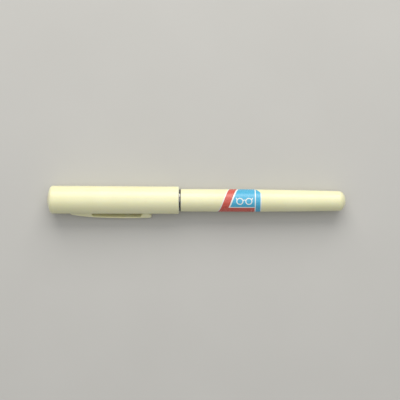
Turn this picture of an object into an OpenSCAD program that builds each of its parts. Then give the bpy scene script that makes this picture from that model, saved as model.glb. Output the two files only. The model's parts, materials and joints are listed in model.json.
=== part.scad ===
// Lens cleaning pen: a clip cap over a carbon cleaning tip, a centre core with a bright trim ring,
// and a closed barrel over a dusting brush.
//
// The pen's axis is the X axis. X = 0 is the barrel's mouth: the barrel runs to +X, the cap to -X.
// Sizes are in millimetres. Pieces on the cap side are drawn at a depth measured from X = 0 towards -X.

/* [Cap] */
// Length of the cap from its mouth to the top of its crown
cap_len = 60.4; // [59.4:0.2:62]
// Outer diameter of the cap where the crown's edge begins
cap_d = 12.8; // [12.7:0.05:13.2]
// Outer diameter of the cap at its mouth
cap_mouth_d = 12.6; // [12.5:0.05:12.7]
// Wall of the cap at its mouth
cap_wall = 0.85; // [0.75:0.05:0.9]
// Radius of the shallow dome of the crown
crown_dome_r = 14; // [12:0.5:18]
// Radius of the crown's rounded edge
crown_edge_r = 1.6; // [1.2:0.1:2]

/* [Clip] */
// Depth of the clip's root end
clip_root = 51.8; // [50.5:0.1:52]
// Depth of the clip's free end
clip_tip = 13.6; // [12:0.2:15]
// Depth of the line where the strap springs from its foot
clip_hinge = 40.8; // [39:0.2:42]
// Greatest height of the clip's outer face above the cap
clip_rise = 2.85; // [2.6:0.05:3.1]
// Thickness of the strap
strap_t = 0.8; // [0.7:0.05:1]
// Width of the clip at its foot
clip_root_w = 3.8; // [3.6:0.1:4.2]
// Width of the clip at its free end
clip_tip_w = 3.2; // [2.8:0.1:3.4]

/* [Barrel] */
// Length of the barrel
barrel_len = 75.7; // [74:0.1:80]
// Diameter of the barrel's straight stretch
barrel_d = 10.35; // [10.3:0.05:10.6]
// Length of the straight stretch at the barrel's mouth
seat_len = 26; // [20:1:30]
// Diameter of the barrel where its rounded tail begins
tail_d = 9.1; // [8.9:0.1:9.6]
// Length of the rounded tail
tail_len = 3.2; // [2.6:0.1:4]
// Wall of the barrel behind its mouth
barrel_wall = 1.1; // [0.9:0.05:1.15]

/* [Core] */
// Width of the bright ring that shows between cap and barrel
ring_shown = 0.8; // [0.6:0.05:1.1]
// Outer diameter of the trim ring
ring_d = 10; // [9.8:0.05:10.2]
// Outer diameter of the grip section
grip_d = 9; // [8.8:0.05:9.1]
// Outer diameter of the brush socket
socket_d = 8.3; // [8.1:0.05:8.35]

/* [Cleaning tip] */
// Diameter of the cleaning pad
pad_d = 8.4; // [7.6:0.1:8.5]
// Depth of the pad's outer rim
pad_depth = 45.1; // [44.9:0.1:45.3]
// Diameter of the rubber neck
neck_d = 4.4; // [4:0.1:4.6]

/* [Brush] */
// Distance from the barrel's mouth to the tip of the hair
hair_reach = 49; // [44:1:52]
// Diameter of the tuft at its fullest
hair_d = 6.8; // [6:0.1:7]
// Outer diameter of the ferrule
ferrule_d = 6; // [5.8:0.1:6.2]

/* [Hidden] */
$fn = 96;

CREAM = [0.90, 0.88, 0.74];
MILKY = [0.88, 0.87, 0.82];
BLACK = [0.06, 0.06, 0.065];
CARBON = [0.03, 0.03, 0.035];
RUBBER = [0.05, 0.05, 0.05];
STEEL = [0.80, 0.80, 0.82];
AMBER = [0.55, 0.36, 0.16];
HAIR = [0.78, 0.70, 0.56];

face_gap = 0.05;     // between faces that meet across a joint
fit_gap = 0.02;      // around a piece pressed into another
slide_gap = 0.1;     // around a sleeve that slides
curve_steps = 24;
arc_steps = 8;

// cap
mouth = ring_shown + face_gap;
crown_top = mouth + cap_len;
cap_r = cap_d / 2;
cap_mouth_r = cap_mouth_d / 2;
mouth_round = 0.5;
bore_r = cap_mouth_r - cap_wall;
crown_wall = 1.7;
ledge_r = bore_r - 0.45;      // the ledge that the sponge cup rests on
ledge_depth = 51.4;
dome_centre = crown_top - crown_dome_r;
edge_centre_r = cap_r - crown_edge_r;
edge_centre = dome_centre + sqrt(pow(crown_dome_r - crown_edge_r, 2) - pow(edge_centre_r, 2));
edge_angle = atan2(edge_centre - dome_centre, edge_centre_r);

// clip
clip_mid = 25;                // depth of the highest point of its bowed outer face
clip_half = clip_root - clip_mid;
clip_base_r = (cap_r + cap_mouth_r) / 2;
tip_corner_r = 0.9;
bump_half = 2.5;              // half the length of the gripping bump
bump_depth = clip_tip + bump_half;
bump_low = cap_mouth_r + (cap_r - cap_mouth_r) * bump_depth / cap_len + face_gap;
tongue = [43, 49];            // depths between which the tongue passes through the cap's wall
tongue_w = 2.4;
pivot_z = clip_base_r + clip_height(clip_hinge) - strap_t / 2;
// the pen lies on its cap and on the clip's lowest edge, so the clip is turned down until both touch
rest_a = clip_base_r + clip_rise;
rest_b = clip_width(clip_mid) / 2;
clip_roll = asin(cap_r / norm([rest_a, rest_b])) - atan2(rest_b, rest_a);

// barrel
barrel_bore_r = socket_d / 2 + 0.07;
bore_step = 18;               // the mouth's wider bore ends here
tail_start = barrel_len - tail_len;
sweep_power = 1.7;            // how late the barrel's taper sets in
mouth_chamfer = 0.15;

// core
ring_back = face_gap;
ring_front = 2.05;
spigot_r = 3.4;
spigot_depth = 9.5;
grip_r = grip_d / 2;
grip_end = 27;
grip_bore_r = 2.6;
liner_end = 26;
liner_bore_r = grip_r + slide_gap;
cord_r = 0.6;                 // of the friction rings' round section
cap_ring_depth = 12.7;
cap_ring_r = liner_bore_r - face_gap - cord_r;
barrel_ring_x = 3.6;
barrel_ring_r = barrel_bore_r - 0.04 - cord_r;
socket_r = socket_d / 2;
socket_end = 15;
grip_grooves = 9;
groove_pitch = 1.1;
groove_deep = 0.22;

// cleaning tip
nose_tip = 35;
nose_tip_r = 2.35;
nose_spigot = 5;              // how far the nose cone reaches into the grip section
nose_flat = 0.15;             // how much the cone's side is straighter than an ellipse
stem_r = 1.58;
stem_start = 19.5;
stem_end = 38;
collar_r = 2.4;               // the stem's collar, which can't pass the nose cone
barb_start = 36.2;
barb_r = 1.2;
neck_r = neck_d / 2;
neck_start = nose_tip + 0.25;
neck_end = 42;
neck_edge = 0.3;
neck_folds = 3;
first_fold = neck_start + 2.9;
fold_pitch = 1.1;
fold_half = 0.35;
fold_deep = 0.5;
stud_r = 1;                   // the insert's stud in the front of the neck
stud_depth = 40;
insert_r = 2.9;
insert_depth = 42.8;
cup_back_r = 2.5;
cup_back = neck_end - 0.35;
cup_shoulder_r = 3.1;
cup_shoulder = 42.3;
cup_lip = 0.45;
pad_r = pad_d / 2;
pad_t = 0.5;
pad_edge = 0.12;
dish = 0.55;                  // how far the pad's middle lies behind its rim
sponge_face = pad_depth + face_gap;
sponge_r = 4.4;               // of the sponge's front, inside its retainer
sponge_edge = 0.3;
sponge_crown = 0.9;           // the sponge's crown as a share of the pad's dish
cup_wall = 0.6;
cup_floor = 0.8;
cup_rim = sponge_face + 0.45;
retainer_front = sponge_face + 0.5;
retainer_t = 0.48;

// brush
ferrule_r = ferrule_d / 2;
ferrule_wall = 0.25;
ferrule_start = 6;
ferrule_end = 24;
crimps = [17.4, 19];          // where the ferrule is rolled in onto the hair
crimp_half = 0.35;
crimp_deep = 0.12;
mouth_taper = 0.25;           // how much the ferrule draws in at its mouth
taper_start = 20.4;
plug_start = 8;
plug_end = 16;
hair_r = hair_d / 2;
hair_root_r = ferrule_r - mouth_taper - ferrule_wall - fit_gap;
root_end = 19.5;
belly_x = 35;
point_power = 1.15;           // how full the tuft's point is

// ---- helpers ----

// Points along an arc about a centre, in the plane of a profile
function arc(centre, r, from, to, steps = arc_steps) =
    [for (i = [0:steps]) let (a = from + (to - from) * i / steps) centre + r * [cos(a), sin(a)]];

// Height of the clip's outer face above the cap at a depth: half of an ellipse
function clip_height(depth) = clip_rise * sqrt(max(0, 1 - pow((depth - clip_mid) / clip_half, 2)));

// Width of the clip at a depth
function clip_width(depth) =
    clip_tip_w + (clip_root_w - clip_tip_w) * (depth - clip_tip) / (clip_root - clip_tip);

// Radius of the barrel before its tail: straight, then a slow sweep inwards
function barrel_sweep(x) =
    (barrel_d - (barrel_d - tail_d) * pow(max(0, x - seat_len) / (tail_start - seat_len), sweep_power)) / 2;

// Points of the barrel's side from X = from to its tail
function barrel_side(from) =
    [for (i = [0:curve_steps])
        let (x = from + (tail_start - from) * i / curve_steps) [barrel_sweep(x), x]];

// Points of the barrel's rounded tail, to the axis
function barrel_tail() =
    [for (i = [1:arc_steps * 2])
        let (a = 90 * i / (arc_steps * 2), x = tail_start + tail_len * sin(a)) [barrel_sweep(x) * cos(a), x]];

// A profile of [radius, distance] turned about the pen's axis, towards +X or towards the cap
module turned(profile) rotate([0, 90, 0]) rotate_extrude() polygon(profile);
module turned_to_cap(profile) mirror([1, 0, 0]) turned(profile);

// Puts a shape drawn as [depth, across, out from the axis] where the clip lies
module at_clip() rotate([90 + clip_roll, 0, 0]) mirror([1, 0, 0]) children();

// A side outline of the clip, [depth, out from the axis], as thick as the clip is wide
module clip_slab()
    rotate([90, 0, 0]) linear_extrude(height = clip_root_w + 2, center = true) children();

// ---- the cap ----

module cap_outside() {
    turned_to_cap(concat(
        [[0, mouth]],
        arc([cap_mouth_r - mouth_round, mouth + mouth_round], mouth_round, -90, 0),
        arc([edge_centre_r, edge_centre], crown_edge_r, 0, edge_angle),
        arc([0, dome_centre], crown_dome_r, edge_angle, 90, arc_steps * 2)));
}

module cap_inside() {
    floor_depth = crown_top - crown_wall;
    corner = 0.8;
    lead_in = 0.25;
    turned_to_cap([
        [0, mouth - 1], [bore_r + lead_in, mouth - 1], [bore_r + lead_in, mouth], [bore_r, mouth + lead_in],
        [bore_r, ledge_depth], [ledge_r, ledge_depth], [ledge_r, floor_depth - corner],
        [ledge_r - corner, floor_depth], [0, floor_depth]]);
}

module tongue_block(gap) {
    translate([tongue[0] - gap, -tongue_w / 2 - gap, bore_r + fit_gap - 2 * gap])
        cube([tongue[1] - tongue[0] + 2 * gap, tongue_w + 2 * gap, 1.6]);
}

module cap_shell() color(CREAM) difference() {
    cap_outside();
    cap_inside();
    at_clip() tongue_block(fit_gap);
}

// Outline of the clip seen from outside: a round root end, straight flanks, a free end with rounded corners
function clip_outline() = concat(
    arc([clip_root - clip_root_w / 2, 0], clip_root_w / 2, -90, 90, 2 * arc_steps),
    arc([clip_tip + tip_corner_r, clip_tip_w / 2 - tip_corner_r], tip_corner_r, 90, 180),
    arc([clip_tip + tip_corner_r, tip_corner_r - clip_tip_w / 2], tip_corner_r, 180, 270));

module clip_column() translate([0, 0, cap_r - 2]) linear_extrude(height = 8) polygon(clip_outline());

// Points of the clip's outer face between two depths, or of a face that lies a drop beneath it
function clip_face(from, to, drop = 0) =
    [for (i = [0:curve_steps])
        let (depth = from + (to - from) * i / curve_steps) [depth, clip_base_r + clip_height(depth) - drop]];

// Points of the gripping bump, from its deep end to the clip's free end
function clip_bump() =
    [for (i = [0:2 * arc_steps])
        let (a = 180 * i / (2 * arc_steps), depth = bump_depth + bump_half * cos(a),
             under = clip_base_r + clip_height(depth) - strap_t)
        [depth, under - (under - bump_low) * sin(a)]];

module clip_foot() color(CREAM) union() {
    difference() {
        at_clip() intersection() {
            clip_slab() difference() {
                polygon(concat(clip_face(clip_hinge + face_gap, clip_root),
                    [[clip_root, cap_r - 1], [clip_hinge + face_gap, cap_r - 1]]));
                translate([clip_hinge, pivot_z]) circle(strap_t / 2 + face_gap);
            }
            clip_column();
        }
        cap_outside();
    }
    at_clip() tongue_block(0);
}

module clip_strap() color(CREAM) at_clip() intersection() {
    clip_slab() polygon(concat(
        clip_face(clip_tip, clip_hinge),
        arc([clip_hinge, pivot_z], strap_t / 2, 90, -90, 2 * arc_steps),
        clip_face(clip_hinge, bump_depth + bump_half, strap_t),
        clip_bump()));
    clip_column();
}

// Sleeve that slides on the grip section
module cap_liner() {
    start = ring_front + slide_gap;
    lead_in = 0.4;
    color(MILKY) turned_to_cap([
        [bore_r - fit_gap, start], [bore_r - fit_gap, liner_end], [liner_bore_r, liner_end],
        [liner_bore_r, start + lead_in], [liner_bore_r + lead_in, start]]);
}

module sponge_cup() {
    back = ledge_depth - fit_gap;
    color(MILKY) turned_to_cap([
        [bore_r - fit_gap, cup_rim], [bore_r - fit_gap, back], [0, back], [0, back - cup_floor],
        [bore_r - cup_wall, back - cup_floor], [bore_r - cup_wall, cup_rim]]);
}

// Carbon-charged sponge with a crowned face that fills the pad's dish
module carbon_sponge() {
    face_r = sponge_r - sponge_edge;
    shoulder = retainer_front + retainer_t + fit_gap;
    body_r = bore_r - cup_wall - fit_gap;
    back = ledge_depth - cup_floor - 2 * fit_gap;
    crown = [for (i = [arc_steps:-1:0]) let (t = i / arc_steps)
        [face_r * t, sponge_face - dish * sponge_crown * (1 - t * t)]];
    color(CARBON) turned_to_cap(concat(
        [[0, back], [body_r, back], [body_r, shoulder], [sponge_r, shoulder],
         [sponge_r, sponge_face + sponge_edge]],
        crown));
}

module sponge_retainer() {
    inner_r = sponge_r + fit_gap;
    outer_r = bore_r - cup_wall - fit_gap;
    back = retainer_front + retainer_t;
    color(MILKY) turned_to_cap([
        [inner_r, retainer_front], [outer_r, retainer_front], [outer_r, back], [inner_r, back]]);
}

// ---- the core ----

module trim_ring() {
    bevel = 0.12;
    r = ring_d / 2;
    color(STEEL) turned_to_cap([
        [spigot_r + fit_gap, ring_back], [r - bevel, ring_back], [r, ring_back + bevel],
        [r, ring_front - bevel], [r - bevel, ring_front], [spigot_r + fit_gap, ring_front]]);
}

module grip_section() {
    groove_half = cord_r + 0.1;
    groove_floor = cap_ring_r - cord_r - fit_gap;
    first = cap_ring_depth + 2.4;
    start = ring_front + fit_gap;
    ribs = [for (i = [0:grip_grooves - 1]) let (at = first + groove_pitch * i)
        each [[grip_r, at], [grip_r - groove_deep, at + groove_deep],
              [grip_r - groove_deep, at + groove_pitch / 2 - groove_deep], [grip_r, at + groove_pitch / 2]]];
    color(BLACK) turned_to_cap(concat(
        [[spigot_r + fit_gap, start], [grip_r - 0.2, start], [grip_r, start + 0.2],
         [grip_r, cap_ring_depth - groove_half], [groove_floor, cap_ring_depth - groove_half],
         [groove_floor, cap_ring_depth + groove_half], [grip_r, cap_ring_depth + groove_half]],
        ribs,
        [[grip_r, grip_end], [grip_bore_r, grip_end], [grip_bore_r, spigot_depth + 0.1],
         [spigot_r + fit_gap, spigot_depth + 0.1]]));
}

module round_ring(r) rotate([0, 90, 0]) rotate_extrude() translate([r, 0]) circle(cord_r);

module cap_friction_ring() color(RUBBER) translate([-cap_ring_depth, 0, 0]) round_ring(cap_ring_r);

module barrel_friction_ring() color(RUBBER) translate([barrel_ring_x, 0, 0]) round_ring(barrel_ring_r);

module nose_cone() {
    bore = stem_r + fit_gap;
    spigot_r = grip_bore_r - fit_gap;
    side = [for (i = [0:curve_steps]) let (t = i / curve_steps)
        [nose_tip_r + (grip_r - nose_tip_r) * sqrt(1 - t * t) * (1 - nose_flat * t),
         grip_end + fit_gap + (nose_tip - grip_end) * t]];
    color(BLACK) turned_to_cap(concat(
        [[bore, grip_end - nose_spigot], [spigot_r, grip_end - nose_spigot], [spigot_r, grip_end + fit_gap]],
        side, [[bore, nose_tip]]));
}

// Rod that carries the neck, with a collar behind the nose cone and a barbed end inside the rubber
module tip_stem() {
    collar_end = grip_end - nose_spigot - 0.1;
    barb_back = stem_end - 1;
    color(BLACK) turned_to_cap([
        [0, stem_start], [collar_r, stem_start], [collar_r, collar_end], [stem_r, collar_end],
        [stem_r, barb_start], [barb_r, barb_start + 0.2], [barb_r, barb_back], [stem_r, barb_back + 0.1],
        [barb_r, stem_end], [0, stem_end]]);
}

// Rubber neck with three folds, open behind for the stem and in front for the insert's stud
module tip_neck() {
    bore = stem_r + fit_gap;
    folds = [for (i = [0:neck_folds - 1]) let (at = first_fold + i * fold_pitch)
        each [[neck_r, at - fold_half], [neck_r - fold_deep, at], [neck_r, at + fold_half]]];
    color(RUBBER) turned_to_cap(concat(
        [[bore, neck_start], [neck_r - neck_edge, neck_start], [neck_r, neck_start + neck_edge]],
        folds,
        [[neck_r, neck_end - neck_edge], [neck_r - neck_edge, neck_end], [stud_r + fit_gap, neck_end],
         [stud_r + fit_gap, stud_depth], [0, stud_depth],
         [0, stem_end + fit_gap], [bore, stem_end + fit_gap]]));
}

module cup_insert() {
    color(BLACK) turned_to_cap([
        [0, stud_depth + fit_gap], [stud_r, stud_depth + fit_gap], [stud_r, neck_end + fit_gap],
        [insert_r, neck_end + fit_gap], [insert_r, insert_depth], [0, insert_depth]]);
}

// Depth of the dished front of the cup at a radius
function dish_depth(r) = pad_depth - pad_t - dish * (1 - pow(r / pad_r, 2));

// Flexible rubber disc around the insert
module tip_cup() {
    rim = pad_depth - pad_t - cup_lip;
    flare = [for (i = [0:arc_steps]) let (t = i / arc_steps)
        [cup_shoulder_r + (pad_r - cup_shoulder_r) * t, cup_shoulder + (rim - cup_shoulder) * pow(t, 1.6)]];
    front = [for (i = [arc_steps:-1:0]) let (r = pad_r * i / arc_steps) [r, dish_depth(r)]];
    color(RUBBER) turned_to_cap(concat(
        [[cup_back_r, cup_back]], flare, front,
        [[0, insert_depth + fit_gap], [insert_r + fit_gap, insert_depth + fit_gap],
         [insert_r + fit_gap, neck_end - face_gap], [cup_back_r, neck_end - face_gap]]));
}

module chamois_pad() {
    under = [for (i = [0:arc_steps]) let (r = pad_r * i / arc_steps) [r, dish_depth(r) + fit_gap]];
    over = [for (i = [arc_steps:-1:0]) let (r = (pad_r - pad_edge) * i / arc_steps)
        [r, dish_depth(r) + pad_t]];
    color(CARBON) turned_to_cap(concat(under, over));
}

// Holds the trim ring against the grip section, and the ferrule in its rear bore
module brush_socket() {
    groove_half = cord_r + 0.1;
    groove_floor = barrel_ring_r - cord_r - fit_gap;
    bore = ferrule_r + fit_gap;
    color(BLACK) turned([
        [0, -spigot_depth], [spigot_r - 0.3, -spigot_depth], [spigot_r, 0.3 - spigot_depth],
        [spigot_r, fit_gap - ring_back], [socket_r, fit_gap - ring_back],
        [socket_r, barrel_ring_x - groove_half], [groove_floor, barrel_ring_x - groove_half],
        [groove_floor, barrel_ring_x + groove_half], [socket_r, barrel_ring_x + groove_half],
        [socket_r, socket_end - 0.6], [socket_r - 0.6, socket_end], [bore, socket_end],
        [bore, ferrule_start - fit_gap], [0, ferrule_start - fit_gap]]);
}

// Metal tube, rolled in twice onto the hair and drawn in at its mouth
module brush_ferrule() {
    inner_r = ferrule_r - ferrule_wall;
    outside = concat(
        [[ferrule_r, ferrule_start]],
        [for (at = crimps)
            each [[ferrule_r, at - crimp_half], [ferrule_r - crimp_deep, at], [ferrule_r, at + crimp_half]]],
        [[ferrule_r, taper_start], [ferrule_r - mouth_taper, ferrule_end]]);
    inside = [[inner_r - mouth_taper, ferrule_end], [inner_r - crimp_deep, taper_start],
              [inner_r - crimp_deep, plug_end + 1], [inner_r, plug_end], [inner_r, ferrule_start]];
    color(STEEL) turned(concat(outside, inside));
}

module hair_plug() {
    r = ferrule_r - ferrule_wall - fit_gap;
    color(AMBER) turned([[0, plug_start], [r, plug_start], [r, plug_end], [0, plug_end]]);
}

// Solid in the tuft's outer shape: from the ferrule's mouth to a full belly and a round point
module brush_hair() {
    held_r = hair_root_r - 0.15;
    root = [[0, plug_end + fit_gap], [held_r, plug_end + fit_gap], [held_r, root_end]];
    belly = [for (i = [0:curve_steps]) let (t = i / curve_steps)
        [hair_root_r + (hair_r - hair_root_r) * sin(90 * t), ferrule_end + (belly_x - ferrule_end) * t]];
    point = [for (i = [1:curve_steps]) let (a = 90 * i / curve_steps)
        [hair_r * cos(a), belly_x + (hair_reach - belly_x) * pow(sin(a), point_power)]];
    color(HAIR) turned(concat(root, belly, point));
}

// ---- the barrel ----

module barrel_shell() {
    inner_tail = barrel_len - barrel_wall - 0.7;
    inner_start = inner_tail - tail_len;
    lead_in = 0.3;
    inner_side = [for (i = [curve_steps:-1:0])
        let (x = bore_step + (inner_start - bore_step) * i / curve_steps) [barrel_sweep(x) - barrel_wall, x]];
    inner_end = [for (i = [arc_steps:-1:1]) let (a = 90 * i / arc_steps)
        [(barrel_sweep(inner_start) - barrel_wall) * cos(a),
         inner_start + (inner_tail - inner_start) * sin(a)]];
    color(CREAM) turned(concat(
        [[barrel_d / 2 - mouth_chamfer, 0], [barrel_d / 2, mouth_chamfer]],
        barrel_side(seat_len), barrel_tail(),
        inner_end, inner_side,
        [[barrel_bore_r, bore_step], [barrel_bore_r, lead_in], [barrel_bore_r + lead_in, 0]]));
}

cap_shell();
clip_foot();
clip_strap();
cap_liner();
sponge_cup();
carbon_sponge();
sponge_retainer();
grip_section();
trim_ring();
cap_friction_ring();
nose_cone();
tip_stem();
tip_neck();
cup_insert();
tip_cup();
chamois_pad();
brush_socket();
barrel_friction_ring();
brush_ferrule();
hair_plug();
brush_hair();
barrel_shell();
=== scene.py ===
# %% [markdown]
# # A lens cleaning pen
#
# The pen lies on a pale table: an ivory cap with a pocket clip, a plated ring in the gap, painted dark
# for the shade and dark reflections of the gap, and an ivory barrel with a small print. Under the cap
# is a carbon cleaning tip, and under the barrel is a soft brush. The hard parts come from the CAD
# model, so this lesson adds what CAD doesn't give: a clip in one flowing piece, folded rubber, foam,
# leather, hair, ink, and a surface for everything.

# %% Load the fixed frame
import json
import math
import random

import bpy
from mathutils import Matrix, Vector, noise


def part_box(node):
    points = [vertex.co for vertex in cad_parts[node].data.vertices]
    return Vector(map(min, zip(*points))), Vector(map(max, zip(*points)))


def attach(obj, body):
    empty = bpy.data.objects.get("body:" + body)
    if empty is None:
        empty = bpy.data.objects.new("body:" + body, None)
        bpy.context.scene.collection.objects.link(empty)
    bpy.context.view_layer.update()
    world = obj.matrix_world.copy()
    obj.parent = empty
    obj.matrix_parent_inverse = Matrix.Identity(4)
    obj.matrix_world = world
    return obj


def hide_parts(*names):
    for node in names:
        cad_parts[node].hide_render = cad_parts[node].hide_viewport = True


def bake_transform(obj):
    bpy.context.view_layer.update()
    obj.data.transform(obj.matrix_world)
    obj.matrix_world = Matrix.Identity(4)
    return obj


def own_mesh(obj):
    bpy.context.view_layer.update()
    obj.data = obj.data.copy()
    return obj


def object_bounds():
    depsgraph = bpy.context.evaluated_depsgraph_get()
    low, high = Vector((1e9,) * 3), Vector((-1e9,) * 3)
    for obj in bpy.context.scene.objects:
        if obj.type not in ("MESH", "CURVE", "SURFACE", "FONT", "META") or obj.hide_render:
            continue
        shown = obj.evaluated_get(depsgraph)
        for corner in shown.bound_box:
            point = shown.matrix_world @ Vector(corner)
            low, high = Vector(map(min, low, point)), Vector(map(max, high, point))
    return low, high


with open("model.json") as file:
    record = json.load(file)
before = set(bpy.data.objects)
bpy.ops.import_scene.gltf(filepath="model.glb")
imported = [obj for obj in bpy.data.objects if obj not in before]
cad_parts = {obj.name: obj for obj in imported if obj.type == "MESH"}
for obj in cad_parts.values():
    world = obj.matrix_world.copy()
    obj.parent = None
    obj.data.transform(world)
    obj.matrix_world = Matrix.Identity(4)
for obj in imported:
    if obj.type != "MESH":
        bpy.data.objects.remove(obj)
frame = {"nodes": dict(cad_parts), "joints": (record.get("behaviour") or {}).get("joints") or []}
nodes = frame["nodes"]
cad_low, cad_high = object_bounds()
MM = 0.001
print("CAD nodes:", len(nodes), "box in mm:", [round(v / MM, 2) for v in cad_high - cad_low])

# %% [markdown]
# ## Places to measure from
#
# Every later size comes from the CAD nodes' own boxes. The pen's axis is the X axis, so half of a
# node's height in Z is its radius. A place on the cap side has a negative x.

# %% Measure the pieces


def span(node):
    """First x, last x and outer radius of a CAD node, in millimetres."""
    low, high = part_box(node)
    return low.x / MM, high.x / MM, (high.z - low.z) / 2 / MM


cap_start, cap_end, cap_r = span("cap_shell")
barrel_start, barrel_end, barrel_r = span("barrel_shell")
table_z = cad_low.z
print("cap", round(cap_start, 2), "to", round(cap_end, 2), "radius", round(cap_r, 2))
print("barrel", round(barrel_start, 2), "to", round(barrel_end, 2), "radius", round(barrel_r, 2))

# %% [markdown]
# ## The camera
#
# The pen is seen from straight above, with a long lens, so both of its ends keep their true widths.
# The lens is worked out from how much of the table the square frame takes in. The camera is turned by
# a fraction of a degree, as a hand-held one is.

# %% Camera straight above
FRAME_WIDTH = 183.8 * MM      # how much of the table the frame takes in
CAMERA_HEIGHT = 0.52
CAMERA_ROLL = math.radians(0.27)
FRAME_CENTRE = (8.8 * MM, 0.15 * MM)

lens_camera = bpy.data.cameras.new("camera")
lens_camera.sensor_width = 36
lens_camera.lens = lens_camera.sensor_width * CAMERA_HEIGHT / FRAME_WIDTH
lens_camera.clip_start = 0.01
camera = bpy.data.objects.new("camera", lens_camera)
camera.location = (*FRAME_CENTRE, CAMERA_HEIGHT)
camera.rotation_euler = (0, 0, CAMERA_ROLL)
bpy.context.collection.objects.link(camera)
bpy.context.scene.camera = camera
print("lens:", round(lens_camera.lens, 1), "mm")

# %% [markdown]
# ## Table and light
#
# A glossy tube shows the shape of its lamp as a long streak. The streak here sits a little above the
# axis, so the main lamp is a long soft box high on that side. A broad, weaker one overhead keeps the
# lower side readable, and the pale sky of the world fills the rest.

# %% Table top
TABLE_SIDE = 3                # metres, so its edges are out of sight
TABLE_GAP = 0.01 * MM         # keeps the pen's lowest faces clear of the table

bpy.ops.object.select_all(action="DESELECT")
bpy.ops.mesh.primitive_plane_add(size=TABLE_SIDE, location=(0, 0, table_z - TABLE_GAP))
table_top = bpy.context.object
table_top.name = "table_top"

# %% Soft boxes
PEN_MIDDLE = Vector((5 * MM, 0, 0))


def soft_box(name, place, size, power, colour):
    """A rectangular lamp aimed at the middle of the pen."""
    lamp = bpy.data.lights.new(name, "AREA")
    lamp.shape = "RECTANGLE"
    lamp.size, lamp.size_y = size
    lamp.energy = power
    lamp.color = colour
    holder = bpy.data.objects.new(name, lamp)
    holder.location = place
    holder.rotation_euler = (PEN_MIDDLE - Vector(place)).to_track_quat("-Z", "Y").to_euler()
    bpy.context.collection.objects.link(holder)


soft_box("main_lamp", (0.02, 0.66, 0.50), (0.9, 0.60), 6.6, (1.0, 0.985, 0.95))
soft_box("top_lamp", (0.0, 0.12, 1.05), (1.3, 0.9), 4.2, (0.97, 0.98, 1.0))

sky = bpy.data.worlds.new("studio_sky")
sky.use_nodes = True
sky.node_tree.nodes["Background"].inputs["Color"].default_value = (0.97, 0.98, 1.0, 1)
sky.node_tree.nodes["Background"].inputs["Strength"].default_value = 0.34
bpy.context.scene.world = sky
bpy.context.scene.view_settings.view_transform = "Standard"

# %% [markdown]
# ## Small helpers for shader nodes
#
# A material is a tree of nodes. One helper adds a node and fills its sockets, from a number or from
# another node's output. A second one starts a node group, which is an effect with named sockets that
# several materials can share.

# %% Node helpers


def add(tree, kind, sockets=None, **settings):
    """Adds a shader node, sets it up and fills its sockets."""
    made = tree.nodes.new("ShaderNode" + kind)
    for name, value in settings.items():
        setattr(made, name, value)
    for name, value in (sockets or {}).items():
        if isinstance(value, bpy.types.NodeSocket):
            tree.links.new(value, made.inputs[name])
        else:
            made.inputs[name].default_value = value
    return made


def sums(tree, operation, a, b=0.0, c=0.0, clamp=False):
    """The result of a Math node."""
    return add(tree, "Math", {0: a, 1: b, 2: c}, operation=operation, use_clamp=clamp).outputs[0]


def blended(tree, factor, a, b):
    """A colour between a and b."""
    mix = add(tree, "Mix", {0: factor, 6: a, 7: b}, data_type="RGBA")
    return mix.outputs[2]


def ramped(tree, value, low, high):
    """0 below low, 1 above high, and smooth between them."""
    made = add(tree, "MapRange", {"Value": value, "From Min": low, "From Max": high},
               interpolation_type="SMOOTHSTEP")
    return made.outputs["Result"]


def start_group(name, inputs, outputs):
    """An empty node group. inputs are (name, default) and a default of None is a vector."""
    tree = bpy.data.node_groups.new(name, "ShaderNodeTree")
    for label, default in inputs:
        kind = "NodeSocketVector" if default is None else "NodeSocketFloat"
        socket = tree.interface.new_socket(name=label, in_out="INPUT", socket_type=kind)
        if default is not None:
            socket.default_value = default
    for label in outputs:
        tree.interface.new_socket(name=label, in_out="OUTPUT", socket_type="NodeSocketFloat")
    return tree, tree.nodes.new("NodeGroupInput").outputs, tree.nodes.new("NodeGroupOutput").inputs


def place_group(tree, group, **sockets):
    """Puts a node group into a material. Socket names are written with _ for each space."""
    made = tree.nodes.new("ShaderNodeGroup")
    made.node_tree = group
    for name, value in sockets.items():
        socket = made.inputs[name.replace("_", " ")]
        if isinstance(value, bpy.types.NodeSocket):
            tree.links.new(value, socket)
        else:
            socket.default_value = value
    return made.outputs


# %% [markdown]
# ## Effects that several finishes share
#
# A moulded part is never quite flat: the tool's polish leaves a fine grain and the plastic sinks a
# little as it cools. A pen that has been in a pocket has hair-fine scratches, mostly along its length,
# a few specks of dust, and edges that are rubbed dull. Each effect is one group that puts out a mask
# or a height, and each material decides what to do with it.

# %% Moulding skin
skin, given, result = start_group(
    "moulding_skin", [("Position", None), ("Sink size", 6.0), ("Grain size", 0.12)], ["Height", "Drift"])
sink_scale = sums(skin, "DIVIDE", 1.0, given["Sink size"])
grain_scale = sums(skin, "DIVIDE", 1.0, given["Grain size"])
sink = add(skin, "TexNoise", {"Vector": given["Position"], "Scale": sink_scale, "Detail": 1.0})
grain = add(skin, "TexNoise", {"Vector": given["Position"], "Scale": grain_scale, "Detail": 2.0})
drift = add(skin, "TexNoise", {"Vector": given["Position"], "Scale": 0.045, "Detail": 3.0})
fine_part = sums(skin, "MULTIPLY", grain.outputs["Fac"], 0.18)
skin.links.new(sums(skin, "ADD", sink.outputs["Fac"], fine_part), result["Height"])
skin.links.new(ramped(skin, drift.outputs["Fac"], 0.3, 0.7), result["Drift"])
print("group:", skin.name)

# %% Handling scratches
scratches, given, result = start_group(
    "handling_scratches", [("Position", None), ("Amount", 0.5), ("Fineness", 3.0)], ["Mask"])


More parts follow.
